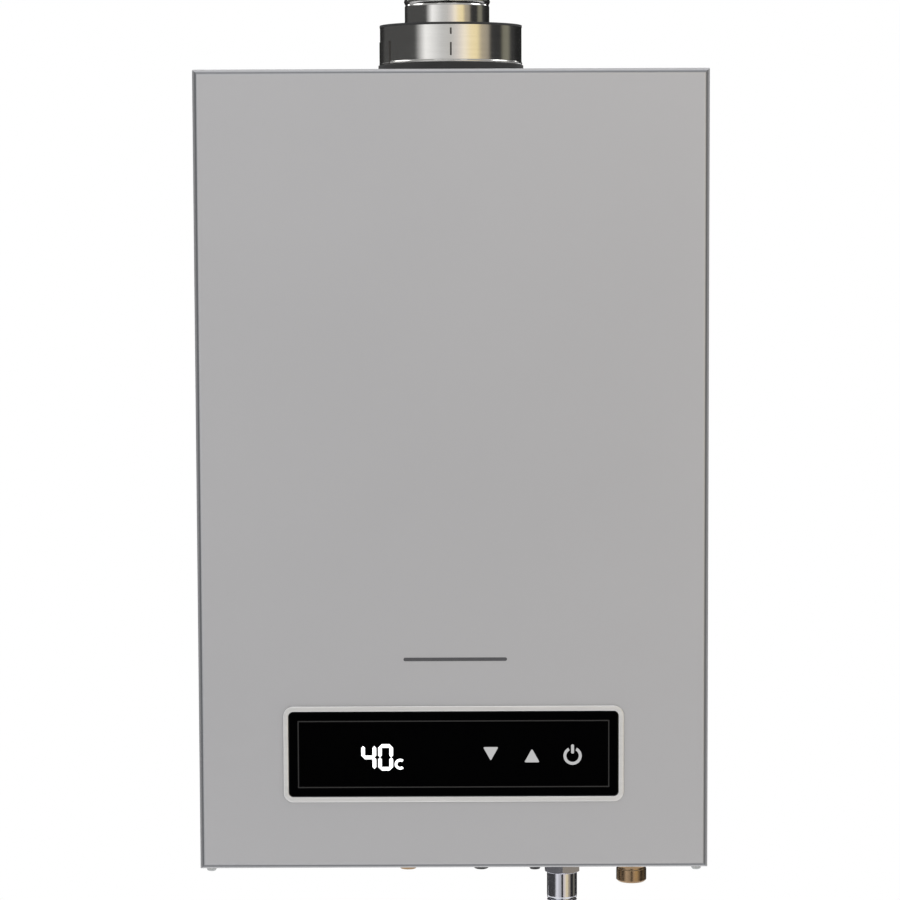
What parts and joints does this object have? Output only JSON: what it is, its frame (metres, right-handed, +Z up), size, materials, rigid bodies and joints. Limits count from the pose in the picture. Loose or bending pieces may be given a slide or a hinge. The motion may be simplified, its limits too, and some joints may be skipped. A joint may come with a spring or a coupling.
{
  "type": "wall-hung gas water heater",
  "caption": "Wall-hung room-sealed gas water heater: painted box casing with a glass touch panel, a coaxial flue collar on top and pipe connections underneath.",
  "frame": {"origin": "centre of the wall bracket, on its back face where it meets the wall", "axes": "+Z up, +X to the viewer's right, the front faces -Y, and +Y goes into the wall"},
  "size_m": [0.345, 0.1664, 0.6735],
  "materials": {
    "silver_paint": "fine satin silver-grey baked paint",
    "zinc_steel": "zinc-coated sheet, dull",
    "black_glass": null,
    "satin_metal": "satin silver trim",
    "polished_stainless": "bright rolled stainless sheet",
    "copper": null,
    "brass": "machined brass",
    "chrome": "bright chrome plate",
    "cast_aluminium": "die-cast, matte",
    "plain_steel": "plain machined steel",
    "burner_steel": "pressed stainless burner sheet",
    "black_plastic": "moulded, fine grain",
    "grey_plastic": "moulded, fine grain",
    "white_plastic": "moulded",
    "blue_plastic": "moulded",
    "black_rubber": "matte rubber",
    "white_ceramic": "glazed insulator",
    "circuit_board": "green solder mask"
  },
  "bodies": {
    "heater": {"air_pressure_switch": "white_plastic", "bottom_plate": "zinc_steel", "burner_blade_1": "burner_steel", "burner_blade_2": "burner_steel", "burner_blade_3": "burner_steel", "burner_blade_4": "burner_steel", "burner_blade_5": "burner_steel", "burner_blade_6": "burner_steel", "burner_tray": "zinc_steel", "cable_gland": "black_plastic", "chassis_back": "zinc_steel", "cold_inlet_fitting": "brass", "cold_pipe": "copper", "control_box_base": "grey_plastic", "control_box_lid": "grey_plastic", "cover_seal": "black_rubber", "drain_cock_body": "brass", "exhaust_pipe": "polished_stainless", "fan_motor": "black_plastic", "fan_scroll": "zinc_steel", "fan_scroll_cover": "zinc_steel", "fin_block": "copper", "fin_tubes": "copper", "flame_sensor": "white_ceramic", "flue_collar": "polished_stainless", "flue_gasket": "black_rubber", "flue_hood": "zinc_steel", "gas_inlet_tail": "brass", "gas_manifold": "cast_aluminium", "gas_valve_body": "cast_aluminium", "heat_exchanger_shell": "copper", "hot_outlet_nipple": "chrome", "hot_outlet_nut": "chrome", "hot_pipe": "copper", "inlet_filter": "white_plastic", "lower_spacer_left": "black_rubber", "lower_spacer_right": "black_rubber", "main_board": "circuit_board", "overheat_thermostat": "plain_steel", "plunger_spring": "plain_steel", "shutoff_coil": "black_plastic", "spark_electrode": "white_ceramic", "spark_generator": "black_plastic", "top_plate": "silver_paint", "transformer": "plain_steel", "wall_bracket": "zinc_steel", "water_coil": "copper", "water_valve_body": "brass"},
    "cover": {"front_cover": "silver_paint", "panel_bezel": "satin_metal", "panel_glass": "black_glass", "display_housing": "black_plastic", "display_board": "circuit_board", "cover_screw_left": "plain_steel", "cover_screw_right": "plain_steel"},
    "fan_rotor": {"fan_shaft": "plain_steel", "fan_impeller": "cast_aluminium"},
    "flow_rotor": {"flow_rotor": "blue_plastic"},
    "gas_plunger": {"shutoff_plunger": "plain_steel"},
    "drain_knob": {"drain_knob": "black_plastic"}
  },
  "joints": [
    {"name": "cover_pull_off", "type": "slide", "parent": "heater", "child": "cover", "axis": [0, -1, 0], "range_m": [0, 0.2]},
    {"name": "fan_spin", "type": "hinge", "parent": "heater", "child": "fan_rotor", "pos_m": [0.01955, -0.08, -0.012], "axis": [0, 1, 0], "continuous": true},
    {"name": "flow_rotor_spin", "type": "hinge", "parent": "heater", "child": "flow_rotor", "pos_m": [0.1254, -0.085, -0.444], "axis": [0, 0, 1], "continuous": true},
    {"name": "gas_plunger_lift", "type": "slide", "parent": "heater", "child": "gas_plunger", "axis": [0, 0, 1], "range_m": [0, 0.0025], "stiffness_N_per_m": 300, "springref_m": -0.006, "deforming": ["plunger_spring"]},
    {"name": "drain_knob_turn", "type": "hinge", "parent": "heater", "child": "drain_knob", "pos_m": [0.0194, -0.085, -0.49], "axis": [0, 0, 1], "range_deg": [0, 360]}
  ]
}
